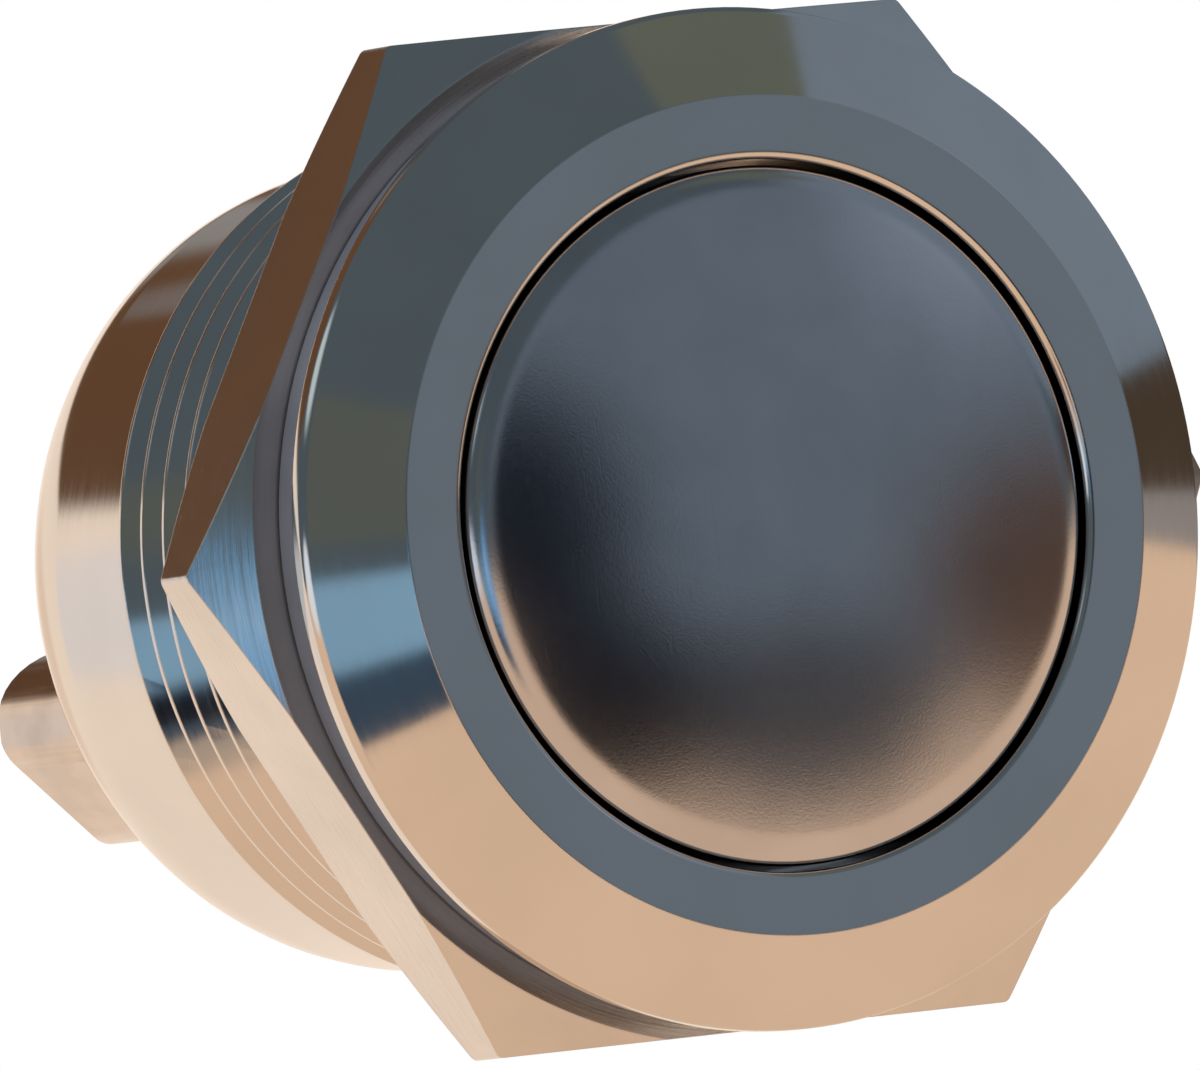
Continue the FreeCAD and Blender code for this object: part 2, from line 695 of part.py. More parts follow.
def base_insulator(doc, v):
    """Moulded cup that lines the chamber, with a groove for its O-ring and two stud holes."""
    body = new_body(doc, "base_insulator")
    mouth = v.web_end + v.fit_gap
    seal = v.base_rear - v.base_seal_from_rear
    half = v.base_seal_section + v.fit_gap
    groove = v.cup_outer + v.base_play - v.base_seal_section * 2 - v.fit_gap
    turned(body, "cup", [
        corner(v.cup_inner, mouth),
        corner(v.cup_outer, mouth),
        corner(v.cup_outer, seal - half),
        corner(groove, seal - half),
        corner(groove, seal + half),
        corner(v.cup_outer, seal + half),
        corner(v.cup_outer, v.base_rear),
        corner(ZERO, v.base_rear),
        corner(ZERO, v.floor_front),
        corner(v.cup_inner, v.floor_front),
    ])
    x, z = contact_direction(v)

    def stud_holes(sketch):
        for sign in (1, -1):
            draw_circle(sketch, v.contact_offset * (sign * x), v.contact_offset * (sign * z),
                        v.contact_shank_radius)

    sunk(body, "stud_holes", stud_holes, v.floor_front, v.base_rear)
    return body


def base_seal(doc, v):
    middle = v.chamber_radius - v.base_seal_section
    return o_ring(doc, "base_seal", middle, v.base_seal_section, v.base_rear - v.base_seal_from_rear)


def terminal_corners(v, grow):
    """Corners of the left terminal's section: a square with its outer corner cut off."""
    left = -v.terminal_x - v.terminal_half - grow
    right = -v.terminal_x + v.terminal_half + grow
    low = -v.terminal_z - v.terminal_half - grow
    high = -v.terminal_z + v.terminal_half + grow
    return {
        "square": [(left, high), (right, high), (right, low)],
        "cut": [(left + v.terminal_cut_x, low), (left, low + v.terminal_cut_z)],
    }


def terminal_section(sketch, v, grow, sign):
    outline = terminal_corners(v, grow)
    points = outline["square"] + outline["cut"]
    if sign > 0:
        points = [(-x, -z) for x, z in points]
    draw_outline(sketch, [corner(x, z) for x, z in points])


def round_section(body, name, feature, v, grow, sign):
    """Rounds the section's corners, broad on the square ones and tighter on the cut."""
    outline = terminal_corners(v, grow)
    for part, radius in (("square", v.terminal_round), ("cut", v.terminal_cut_round)):
        places = [(-sign * x.value, -sign * z.value) for x, z in outline[part]]
        feature = rounded(body, name + "_" + part, feature, radius,
                          lambda edge: any(is_along_y(edge, a, b) for a, b in places))
    return feature


def terminal_block(doc, label, v, sign):
    """Pillar terminal: wire hole across, screw bore from the rear, pin hole in front."""
    body = new_body(doc, label)
    block = raised(body, "block_" + label, lambda sketch: terminal_section(sketch, v, ZERO, sign),
                   v.base_rear, v.terminal_end)
    round_section(body, "edges_" + label, block, v, ZERO, sign)
    x, z = contact_direction(v)
    sunk(body, "pin_hole_" + label,
         lambda sketch: draw_circle(sketch, v.contact_offset * (sign * x), v.contact_offset * (sign * z),
                                    v.contact_pin_radius),
         v.base_rear, v.base_rear + v.contact_pin_length)
    wire = v.terminal_end - v.wire_hole_place
    sunk(body, "screw_bore_" + label,
         lambda sketch: draw_circle(sketch, v.terminal_x * sign, v.terminal_z * sign, v.screw_bore),
         wire, v.terminal_end)
    before = body.Shape.Volume
    sketch = new_sketch(body, "wire_profile_" + label, "YZ_Plane")
    draw_circle(sketch, wire, v.terminal_z * sign, v.wire_hole_radius)
    hole = body.newObject("PartDesign::Pocket", "wire_hole_" + label)
    hole.Profile = sketch
    hole.Type = "ThroughAll"
    hole.Midplane = True
    doc.recompute()
    if hole.Shape.Volume > before - 1e-6:
        raise RuntimeError("the wire hole cuts nothing")
    return body


def rear_potting(doc, v):
    """Resin disc behind the base, cast round both terminals."""
    body = new_body(doc, "rear_potting")
    rear = v.skirt_end + v.resin_over
    turned(body, "resin", ring_points(ZERO, v.chamber_radius - v.fit_gap, v.base_rear, rear))
    for side, sign in (("left", -1), ("right", 1)):
        cut = sunk(body, "window_" + side, lambda sketch: terminal_section(sketch, v, v.fit_gap, sign),
                   v.base_rear, rear)
        round_section(body, "window_edges_" + side, cut, v, v.fit_gap, sign)
    return body


def terminal_screw(doc, label, v, sign):
    """Slotted screw without a head, in the rear of its terminal."""
    body = new_body(doc, label)
    x, z = v.terminal_x * sign, v.terminal_z * sign
    rear = v.terminal_end - v.screw_recess
    raised(body, "shank_" + label, lambda sketch: draw_circle(sketch, x, z, v.screw_radius),
           rear - v.screw_length, rear)
    half = v.screw_slot_width / 2
    reach = v.screw_radius * 1.2

    def slot(sketch):
        draw_outline(sketch, [corner(x - reach, z - half), corner(x + reach, z - half),
                              corner(x + reach, z + half), corner(x - reach, z + half)])

    sunk(body, "slot_" + label, slot, rear - v.screw_slot_depth, rear)
    return body


def main():
    doc = FreeCAD.newDocument("pushbutton")
    v = Sizes(doc)
    pieces = [
        housing(doc, v),
        panel_gasket(doc, v),
        hex_nut(doc, v),
        button_cap(doc, v),
        plunger(doc, v),
        return_spring(doc, v),
        seat_washer(doc, v),
        guide_bush(doc, v),
        stem_seal(doc, v),
        retaining_clip(doc, v),
        contact_carrier(doc, v),
        bridge_guide(doc, v),
        contact_spring(doc, v),
        contact_bridge(doc, v),
        bridge_tips(doc, v),
        fixed_contact(doc, "fixed_contact_left", v, -1),
        fixed_contact(doc, "fixed_contact_right", v, 1),
        base_insulator(doc, v),
        base_seal(doc, v),
        rear_potting(doc, v),
        terminal_block(doc, "terminal_block_left", v, -1),
        terminal_block(doc, "terminal_block_right", v, 1),
        terminal_screw(doc, "terminal_screw_left", v, -1),
        terminal_screw(doc, "terminal_screw_right", v, 1),
    ]
    doc.recompute()
    for item in doc.Objects:
        if "Invalid" in item.State or "Error" in item.State:
            raise RuntimeError("%s failed: %s" % (item.Name, item.State))
    os.makedirs("parts", exist_ok=True)
    for piece in pieces:
        shape = piece.Shape
        if shape.isNull() or not shape.isValid() or not shape.Solids:
            raise RuntimeError(piece.Label + " has no valid solid")
        shape.exportStep("parts/%s.step" % piece.Label)
        box = shape.BoundBox
        print("%-22s %9.3f mm3  x %7.3f %7.3f  y %7.3f %7.3f  z %7.3f %7.3f" % (
            piece.Label, shape.Volume, box.XMin, box.XMax, box.YMin, box.YMax, box.ZMin, box.ZMax))


main()
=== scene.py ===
import math

import bmesh
import bpy
from bpy.props import FloatProperty, FloatVectorProperty, IntProperty, PointerProperty
from mathutils import Matrix, Vector
from mathutils.geometry import interpolate_bezier


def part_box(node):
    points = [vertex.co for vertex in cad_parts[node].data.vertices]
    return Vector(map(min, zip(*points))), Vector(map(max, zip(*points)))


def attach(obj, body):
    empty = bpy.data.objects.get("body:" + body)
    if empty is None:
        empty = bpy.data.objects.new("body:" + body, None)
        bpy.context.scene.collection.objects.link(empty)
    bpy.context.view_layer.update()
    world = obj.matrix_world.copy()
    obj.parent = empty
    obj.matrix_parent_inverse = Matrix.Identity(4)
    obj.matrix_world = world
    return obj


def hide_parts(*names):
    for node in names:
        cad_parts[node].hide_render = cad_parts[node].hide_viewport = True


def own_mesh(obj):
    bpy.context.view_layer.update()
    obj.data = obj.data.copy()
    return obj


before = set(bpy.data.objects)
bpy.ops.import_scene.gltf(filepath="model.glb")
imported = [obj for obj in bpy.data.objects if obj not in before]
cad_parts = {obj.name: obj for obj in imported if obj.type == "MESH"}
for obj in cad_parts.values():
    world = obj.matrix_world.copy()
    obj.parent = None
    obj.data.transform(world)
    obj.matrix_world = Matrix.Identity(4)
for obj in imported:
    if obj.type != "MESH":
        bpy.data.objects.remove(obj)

bl_info = {
    "name": "Metal pushbutton",
    "version": (1, 0, 0),
    "blender": (4, 5, 0),
    "location": "View3D > Sidebar > Pushbutton",
    "description": "Dresses a 19 mm panel pushbutton: body, thread, nut, gasket, cap and terminals",
    "category": "Object",
}

MM = 0.001
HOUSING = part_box("housing")
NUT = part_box("hex_nut")
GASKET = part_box("panel_gasket")
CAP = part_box("button_cap")

# The body behind its flange, in millimetres: radii, and places along the axis.
CREST, THREAD_END = 9.5, 10.9
SKIRT, SHOULDER, SHOULDER_ARC = 8.87, 14.8, 4.2
WEB_FRONT, WEB_REAR, WEB_BORE, CHAMBER = 3.6, 6.0, 3.2, 7.2


# ---------------------------------------------------------------- colours and nodes

def linear(code):
    """Turns an sRGB hex colour into the linear values that a shader wants."""
    channels = [int(code[i:i + 2], 16) / 255 for i in (0, 2, 4)]
    return tuple(c / 12.92 if c <= 0.04045 else ((c + 0.055) / 1.055) ** 2.4 for c in channels)


def add(tree, kind, settings=None, sockets=None):
    """Adds a node with its settings. A socket's value is a constant or another node's output."""
    node = tree.nodes.new(kind)
    for name, value in (settings or {}).items():
        setattr(node, name, value)
    for name, value in (sockets or {}).items():
        if isinstance(value, bpy.types.NodeSocket):
            tree.links.new(value, node.inputs[name])
        else:
            node.inputs[name].default_value = value
    return node


def new_material(name):
    """A material with nothing in it but its shader and output."""
    material = bpy.data.materials.new(name)
    material.use_nodes = True
    tree = material.node_tree
    tree.nodes.clear()
    shader = add(tree, "ShaderNodeBsdfPrincipled")
    add(tree, "ShaderNodeOutputMaterial", sockets={"Surface": shader.outputs["BSDF"]})
    return material, tree, shader


def lathe_lines(tree, spacing, seed):
    """Circular tool marks: a height that changes with radius and length, weaker here and there."""
    place = add(tree, "ShaderNodeTexCoord").outputs["Object"]
    split = add(tree, "ShaderNodeSeparateXYZ", sockets={0: place})
    flat = add(tree, "ShaderNodeCombineXYZ", sockets={0: split.outputs["X"], 2: split.outputs["Z"]})
    radius = add(tree, "ShaderNodeVectorMath", {"operation": "LENGTH"}, {0: flat.outputs[0]})
    ring = add(tree, "ShaderNodeCombineXYZ", sockets={
        0: radius.outputs["Value"], 1: split.outputs["Y"], 2: seed * MM})
    marks = add(tree, "ShaderNodeTexNoise", {"noise_dimensions": "3D"}, {
        "Vector": ring.outputs[0], "Scale": 1 / (spacing * MM), "Detail": 3.0, "Roughness": 0.65})
    patches = add(tree, "ShaderNodeTexNoise", {"noise_dimensions": "3D"}, {
        "Vector": place, "Scale": 1 / (6 * MM), "Detail": 2.0})
    weight = add(tree, "ShaderNodeMapRange", sockets={
        "Value": patches.outputs[0], "From Min": 0.3, "From Max": 0.7, "To Min": 0.45, "To Max": 1.0})
    return place, add(tree, "ShaderNodeMath", {"operation": "MULTIPLY"}, {
        0: marks.outputs[0], 1: weight.outputs[0]}).outputs[0]


def hairlines(tree, place, turn, spacing, share):
    """Sparse straight scratches in one direction, as a mask from 0 to 1."""
    laid = add(tree, "ShaderNodeMapping", sockets={
        "Vector": place, "Rotation": turn,
        "Scale": (1 / (spacing * MM), 1 / (spacing * MM), 1 / (9 * MM))})
    noise = add(tree, "ShaderNodeTexNoise", {"noise_dimensions": "3D"}, {
        "Vector": laid.outputs[0], "Scale": 1.0, "Detail": 1.0})
    return add(tree, "ShaderNodeMapRange", {"interpolation_type": "SMOOTHSTEP"}, {
        "Value": noise.outputs[0], "From Min": share, "From Max": share + 0.06}).outputs[0]


def clouded(tree, place, size, first, second):
    """Two tones that drift into each other over patches of the given size."""
    noise = add(tree, "ShaderNodeTexNoise", {"noise_dimensions": "3D"}, {
        "Vector": place, "Scale": 1 / (size * MM), "Detail": 3.0})
    tone = add(tree, "ShaderNodeMapRange", sockets={
        "Value": noise.outputs[0], "From Min": 0.35, "From Max": 0.65})
    return add(tree, "ShaderNodeMix", {"data_type": "RGBA"}, {
        "Factor": tone.outputs[0], "A": (*first, 1), "B": (*second, 1)}).outputs["Result"]


def roughness_from(tree, value, low, high):
    """Spreads a noise value over a range of roughness."""
    return add(tree, "ShaderNodeMapRange", sockets={
        "Value": value, "From Min": 0.2, "From Max": 0.8, "To Min": low, "To Max": high}).outputs[0]


# ---------------------------------------------------------------- finishes

def polished_nickel():
    """Nickel plating over turned and polished brass.

    It mirrors the room with only a slight blur, and faint circular marks of the lathe tool show
    where the light grazes. The plating is a warm white metal. The marks lie about 0.1 mm apart,
    twice the real feed, because finer ones wouldn't show in the render.
    """
    colours = bpy.context.scene.pushbutton_colours
    material, tree, shader = new_material("nickel_plated_turned_brass")
    place, marks = lathe_lines(tree, 0.11, 3)
    scratch = hairlines(tree, place, (0.5, 0.9, 0.3), 0.09, 0.66)
    height = add(tree, "ShaderNodeMath", {"operation": "MULTIPLY_ADD"}, {0: scratch, 1: -0.3, 2: marks})
    # the plating rounds every sharp edge a little, and this is too small for the mesh
    edges = add(tree, "ShaderNodeBevel", {"samples": 4}, {"Radius": 0.05 * MM})
    bump = add(tree, "ShaderNodeBump", sockets={
        "Strength": 0.4, "Distance": 0.001 * MM,
        "Height": height.outputs[0], "Normal": edges.outputs[0]})
    tone = tuple(colours.nickel)
    shader.inputs["Metallic"].default_value = 1.0
    tree.links.new(clouded(tree, place, 4.0, tone, tuple(c * 0.94 for c in tone)),
                   shader.inputs["Base Color"])
    tree.links.new(roughness_from(tree, marks, 0.07, 0.13), shader.inputs["Roughness"])
    tree.links.new(bump.outputs[0], shader.inputs["Normal"])
    return material


def milled_nickel():
    """Nickel plating over a milled and faced nut.

    The tool marks are coarser than on the body: rings on the turned faces, and fine lines across
    the flats. They blur the mirror image along one direction.
    """
    colours = bpy.context.scene.pushbutton_colours
    material, tree, shader = new_material("nickel_plated_milled_brass")
    place, rings = lathe_lines(tree, 0.1, 7)
    lines = add(tree, "ShaderNodeMapping", sockets={
        "Vector": place, "Scale": (1 / (2.2 * MM), 1 / (0.07 * MM), 1 / (2.2 * MM))})
    passes = add(tree, "ShaderNodeTexNoise", {"noise_dimensions": "3D"}, {
        "Vector": lines.outputs[0], "Scale": 1.0, "Detail": 3.0})
    height = add(tree, "ShaderNodeMath", {"operation": "ADD"}, {0: rings, 1: passes.outputs[0]})
    # the edges are rounded as on the body
    edges = add(tree, "ShaderNodeBevel", {"samples": 4}, {"Radius": 0.05 * MM})
    bump = add(tree, "ShaderNodeBump", sockets={
        "Strength": 1.0, "Distance": 0.006 * MM,
        "Height": height.outputs[0], "Normal": edges.outputs[0]})
    tone = tuple(colours.nickel)
    shader.inputs["Metallic"].default_value = 1.0
    tree.links.new(clouded(tree, place, 3.0, tone, tuple(c * 0.92 for c in tone)),
                   shader.inputs["Base Color"])
    tree.links.new(roughness_from(tree, rings, 0.14, 0.24), shader.inputs["Roughness"])
    tree.links.new(bump.outputs[0], shader.inputs["Normal"])
    return material


def satin_steel():
    """Stainless steel with a fine satin finish, worn smooth by fingers.

    The mirror image is spread wide into soft clouds, with a fine grain and a few hairlines. The
    grain of 0.06 mm is what 240 grit leaves.
    """
    colours = bpy.context.scene.pushbutton_colours
    material, tree, shader = new_material("stainless_steel_satin")
    place = add(tree, "ShaderNodeTexCoord").outputs["Object"]
    grain = add(tree, "ShaderNodeTexNoise", {"noise_dimensions": "3D"}, {
        "Vector": place, "Scale": 1 / (0.06 * MM), "Detail": 4.0, "Roughness": 0.7})
    scratch = hairlines(tree, place, (0.2, 1.1, 0.4), 0.08, 0.7)
    height = add(tree, "ShaderNodeMath", {"operation": "MULTIPLY_ADD"}, {
        0: scratch, 1: -0.15, 2: grain.outputs[0]})
    bump = add(tree, "ShaderNodeBump", sockets={
        "Strength": 0.5, "Distance": 0.003 * MM, "Height": height.outputs[0]})
    tone = tuple(colours.cap)
    shader.inputs["Metallic"].default_value = 1.0
    tree.links.new(clouded(tree, place, 2.0, tone, tuple(c * 0.93 for c in tone)),
                   shader.inputs["Base Color"])
    tree.links.new(roughness_from(tree, grain.outputs[0], 0.12, 0.18), shader.inputs["Roughness"])
    tree.links.new(bump.outputs[0], shader.inputs["Normal"])
    return material


def moulded(name, colour, grain_size, roughness, depth, drift=0.82):
    """A moulded, cast or painted polymer: a faintly clouded colour and the fine grain of its skin."""
    material, tree, shader = new_material(name)
    place = add(tree, "ShaderNodeTexCoord").outputs["Object"]
    grain = add(tree, "ShaderNodeTexNoise", {"noise_dimensions": "3D"}, {
        "Vector": place, "Scale": 1 / (grain_size * MM), "Detail": 4.0, "Roughness": 0.6})
    bump = add(tree, "ShaderNodeBump", sockets={
        "Strength": 0.6, "Distance": depth * MM, "Height": grain.outputs[0]})
    tree.links.new(clouded(tree, place, 2.5, colour, tuple(c * drift for c in colour)),
                   shader.inputs["Base Color"])
    tree.links.new(roughness_from(tree, grain.outputs[0], roughness - 0.08, roughness + 0.08),
                   shader.inputs["Roughness"])
    tree.links.new(bump.outputs[0], shader.inputs["Normal"])
    return material


def drawn_metal(name, colour, direction, roughness):
    """A metal that was drawn, rolled or turned: faint lines along the direction of the work.

    The lines lie 0.08 mm apart, coarser than real ones, so that they show in the render.
    """
    material, tree, shader = new_material(name)
    place = add(tree, "ShaderNodeTexCoord").outputs["Object"]
    across, along = 1 / (0.08 * MM), 1 / (3.0 * MM)
    lines = add(tree, "ShaderNodeMapping", sockets={
        "Vector": place, "Scale": tuple(along if axis == direction else across for axis in "XYZ")})
    work = add(tree, "ShaderNodeTexNoise", {"noise_dimensions": "3D"}, {
        "Vector": lines.outputs[0], "Scale": 1.0, "Detail": 2.0})
    bump = add(tree, "ShaderNodeBump", sockets={
        "Strength": 0.5, "Distance": 0.002 * MM, "Height": work.outputs[0]})
    shader.inputs["Metallic"].default_value = 1.0
    tree.links.new(clouded(tree, place, 1.5, colour, tuple(c * 0.85 for c in colour)),
                   shader.inputs["Base Color"])
    tree.links.new(roughness_from(tree, work.outputs[0], roughness - 0.06, roughness + 0.06),
                   shader.inputs["Roughness"])
    tree.links.new(bump.outputs[0], shader.inputs["Normal"])
    return material


# ---------------------------------------------------------------- modelling by hand

def only(piece):
    """Leaves one piece selected and active."""
    bpy.ops.object.select_all(action="DESELECT")
    piece.select_set(True)
    bpy.context.view_layer.objects.active = piece


def apply(piece, kind, **settings):
    """Adds a modifier with its settings and applies it."""
    only(piece)
    modifier = piece.modifiers.new(kind.lower(), kind)
    for name, value in settings.items():
        setattr(modifier, name, value)
    bpy.ops.object.modifier_apply(modifier=modifier.name)


def rounded_outline(corners, steps=5):
    """Replaces each (radius, along, rounding) corner, in millimetres, by the points of its arc."""
    points = []
    for i, (x, y, rounding) in enumerate(corners):
        here = Vector((x, y))
        if rounding == 0:
            points.append(here)
            continue
        before = (Vector(corners[i - 1][:2]) - here).normalized()
        after = (Vector(corners[(i + 1) % len(corners)][:2]) - here).normalized()
        half = before.angle(after) / 2
        middle = here + (before + after).normalized() * rounding / math.sin(half)
        first = here + before * rounding / math.tan(half) - middle
        turn = math.pi - 2 * half
        if before.x * after.y - before.y * after.x > 0:
            turn = -turn
        for step in range(steps + 1):
            points.append(middle + Matrix.Rotation(turn * step / steps, 2) @ first)
    return points


def turned(name, points, steps):
    """A lathe piece: a point is extruded along the outline, which is then spun about the Y axis."""
    bpy.ops.object.select_all(action="DESELECT")
    bpy.ops.mesh.primitive_plane_add(size=MM)
    piece = bpy.context.object
    piece.name = piece.data.name = name
    bpy.ops.object.mode_set(mode="EDIT")
    bpy.ops.mesh.select_all(action="SELECT")
    bpy.ops.mesh.merge(type="CENTER")
    places = [Vector((p[0] * MM, p[1] * MM, 0)) for p in points]
    bpy.ops.transform.translate(value=places[0])
    for here, there in zip(places, places[1:] + places[:1]):
        bpy.ops.mesh.extrude_vertices_move(TRANSFORM_OT_translate={"value": there - here})
    bpy.ops.mesh.select_all(action="SELECT")
    bpy.ops.mesh.remove_doubles(threshold=1e-6)
    bpy.ops.mesh.spin(steps=steps, angle=math.tau, center=(0, 0, 0), axis=(0, 1, 0))
    bpy.ops.mesh.select_all(action="SELECT")
    bpy.ops.mesh.remove_doubles(threshold=1e-6)
    bpy.ops.mesh.normals_make_consistent(inside=False)
    bpy.ops.object.mode_set(mode="OBJECT")
    return piece


def cut(piece, tool, operation="DIFFERENCE"):
    """Machines one piece with another and takes the tool away."""
    apply(piece, "BOOLEAN", operation=operation, solver="EXACT", object=tool)
    bpy.data.objects.remove(tool)


def smoothed(piece, degrees=28):
    """Smooth shading up to an angle, with the broad faces deciding the normals."""
    only(piece)
    bpy.ops.object.shade_smooth_by_angle(angle=math.radians(degrees))
    apply(piece, "WEIGHTED_NORMAL", keep_sharp=True, weight=80)


def dressed(piece, node, body, material):
    """Gives a finished piece its material and body, and lets it stand for its CAD node."""
    piece.data.materials.clear()
    piece.data.materials.append(material)
    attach(piece, body)
    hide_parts(node)


def repaint(nodes, material):
    """Puts a finish on CAD nodes whose own shape is right."""
    for name in nodes:
        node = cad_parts[name]
        node.data.materials.clear()
        node.data.materials.append(material)


# ---------------------------------------------------------------- values that a user would change

class PushbuttonSizes(bpy.types.PropertyGroup):
    pitch: FloatProperty(name="Thread pitch", description="Rise of the thread in one turn",
                         default=1.0 * MM, min=0.25 * MM, unit="LENGTH", precision=5)
    thread_depth: FloatProperty(name="Thread depth", description="Crest to root of the thread",
                                default=0.613 * MM, min=0.1 * MM, unit="LENGTH", precision=5)
    ring_radius: FloatProperty(name="Front ring radius", description="Outer edge of the flat front ring",
                               default=9.02 * MM, unit="LENGTH", precision=5)
    bevel_end: FloatProperty(name="Bevel's rear edge", description="Where the wide bevel meets the rim",
                             default=-0.46 * MM, unit="LENGTH", precision=5)
    gap: FloatProperty(name="Button gap", description="Gap between the cap and its hole",
                       default=0.13 * MM, unit="LENGTH", precision=5)
    steps: IntProperty(name="Steps round a turned piece", description="Faces round each turned piece",
                       default=192, min=48, max=512)


class PushbuttonColours(bpy.types.PropertyGroup):
    nickel: FloatVectorProperty(name="Nickel", description="Colour of the plating",
                                subtype="COLOR", default=linear("E4DFDA"), min=0, max=1)
    cap: FloatVectorProperty(name="Cap", description="Colour of the satin cap",
                             subtype="COLOR", default=linear("D3D1D2"), min=0, max=1)
    gasket: FloatVectorProperty(name="Gasket", description="Colour of the panel gasket",
                                subtype="COLOR", default=linear("7B7E8A"), min=0, max=1)
    floor: FloatVectorProperty(name="Floor", description="Colour of the floor",
                               subtype="COLOR", default=linear("EDE9E4"), min=0, max=1)


# ---------------------------------------------------------------- pieces

class PUSHBUTTON_OT_housing(bpy.types.Operator):
    """Turns the body from one blank and cuts its thread"""
    bl_idname = "pushbutton.housing"
    bl_label = "Housing"

    def execute(self, context):
        sizes = context.scene.pushbutton_sizes
        rim = HOUSING[1].x / MM
        front = HOUSING[0].y / MM
        rear = HOUSING[1].y / MM
        hole = CAP[1].x / MM + sizes.gap / MM
        corners = [
            (hole, front, 0.16), (sizes.ring_radius / MM, front, 0.06),
            (rim, sizes.bevel_end / MM, 0.22), (rim, 0.0, 0.06),
            (CREST, 0.0, 0), (CREST, THREAD_END, 0.03),
            (SKIRT, THREAD_END, 0), (SKIRT, SHOULDER, 0),
        ]
        for degrees in range(6, 90, 6):
            # the shoulder's arc, down to just before the rear face
            angle = math.radians(degrees)
            along = SHOULDER + SHOULDER_ARC * math.sin(angle)
            if along > rear - 0.06:
                break
            corners.append((SKIRT - SHOULDER_ARC + SHOULDER_ARC * math.cos(angle), along, 0))
        # the rear face from the arc's end, the contact chamber, the web and its bore, the pocket
        arc_end = 7.65
        corners += [(arc_end, rear, 0.06), (CHAMBER, rear, 0.05), (CHAMBER, WEB_REAR, 0),
                    (WEB_BORE, WEB_REAR, 0), (WEB_BORE, WEB_FRONT, 0), (hole, WEB_FRONT, 0)]
        piece = turned("housing_turned", rounded_outline(corners), sizes.steps)
        cut(piece, thread_tool(sizes))
        smoothed(piece, 24)
        dressed(piece, "housing", "switch_body", polished_nickel())
        return {"FINISHED"}


def thread_tool(sizes):
    """The groove of the thread as a solid coil: a flat-ended V swept along a right-hand screw line."""
    pitch, depth, over = sizes.pitch, sizes.thread_depth, 0.12 * MM
    crest, flank = CREST * MM, math.tan(math.radians(30))
    # the groove takes nine tenths of the pitch at the crest, and the tool stands out over it
    outer = pitch * 0.9 + 2 * over * flank
    inner = pitch * 0.9 - 2 * depth * flank
    # it starts under the gasket, and runs out behind the end of the thread
    start, end = 0.65 * MM, (THREAD_END + 0.8) * MM
    bpy.ops.object.select_all(action="DESELECT")
    bpy.ops.mesh.primitive_plane_add(size=1, location=(crest + (over - depth) / 2, start, 0))
    tool = bpy.context.object
    tool.scale = (depth + over, outer, 1)
    bpy.ops.object.transform_apply(location=True, rotation=True, scale=True)
    bpy.ops.object.mode_set(mode="EDIT")
    bpy.ops.mesh.select_all(action="SELECT")
    bpy.ops.mesh.delete(type="ONLY_FACE")
    mesh = bmesh.from_edit_mesh(tool.data)
    for vertex in mesh.verts:
        vertex.select_set(vertex.co.x < crest - depth / 2)
    mesh.select_flush_mode()
    bmesh.update_edit_mesh(tool.data)
    bpy.ops.transform.resize(value=(1, inner / outer, 1), center_override=(crest, start, 0))
    bpy.ops.object.mode_set(mode="OBJECT")
    turns = math.ceil((end - start) / pitch)
    apply(tool, "SCREW", axis="Y", angle=math.tau, screw_offset=pitch, iterations=turns,
          steps=sizes.steps // 2, render_steps=sizes.steps // 2, use_smooth_shade=False)
    bpy.ops.object.mode_set(mode="EDIT")
    bpy.ops.mesh.select_all(action="SELECT")
    bpy.ops.mesh.remove_doubles(threshold=1e-7)
    bpy.ops.mesh.fill_holes(sides=4)
    bpy.ops.mesh.select_all(action="SELECT")
    bpy.ops.mesh.normals_make_consistent(inside=False)
    bpy.ops.object.mode_set(mode="OBJECT")
    return tool


class PUSHBUTTON_OT_gasket(bpy.types.Operator):
    """Makes the flat gasket behind the flange"""
    bl_idname = "pushbutton.gasket"
    bl_label = "Gasket"

    def execute(self, context):
        sizes = context.scene.pushbutton_sizes
        outer, rear = GASKET[1].x / MM, GASKET[1].y / MM
        piece = turned("panel_gasket_ring", rounded_outline([
            (CREST + 0.05, 0.0, 0), (outer, 0.0, 0.12), (outer, rear, 0.12), (CREST + 0.05, rear, 0)]),
            sizes.steps)
        smoothed(piece)
        colour = tuple(context.scene.pushbutton_colours.gasket)
        # a hard, matt polymer: it gives back a soft, even grey-mauve with no mirror image
        dressed(piece, "panel_gasket", "switch_body",
                moulded("nylon_moulded_grey", colour, 0.18, 0.5, 0.006))
        return {"FINISHED"}


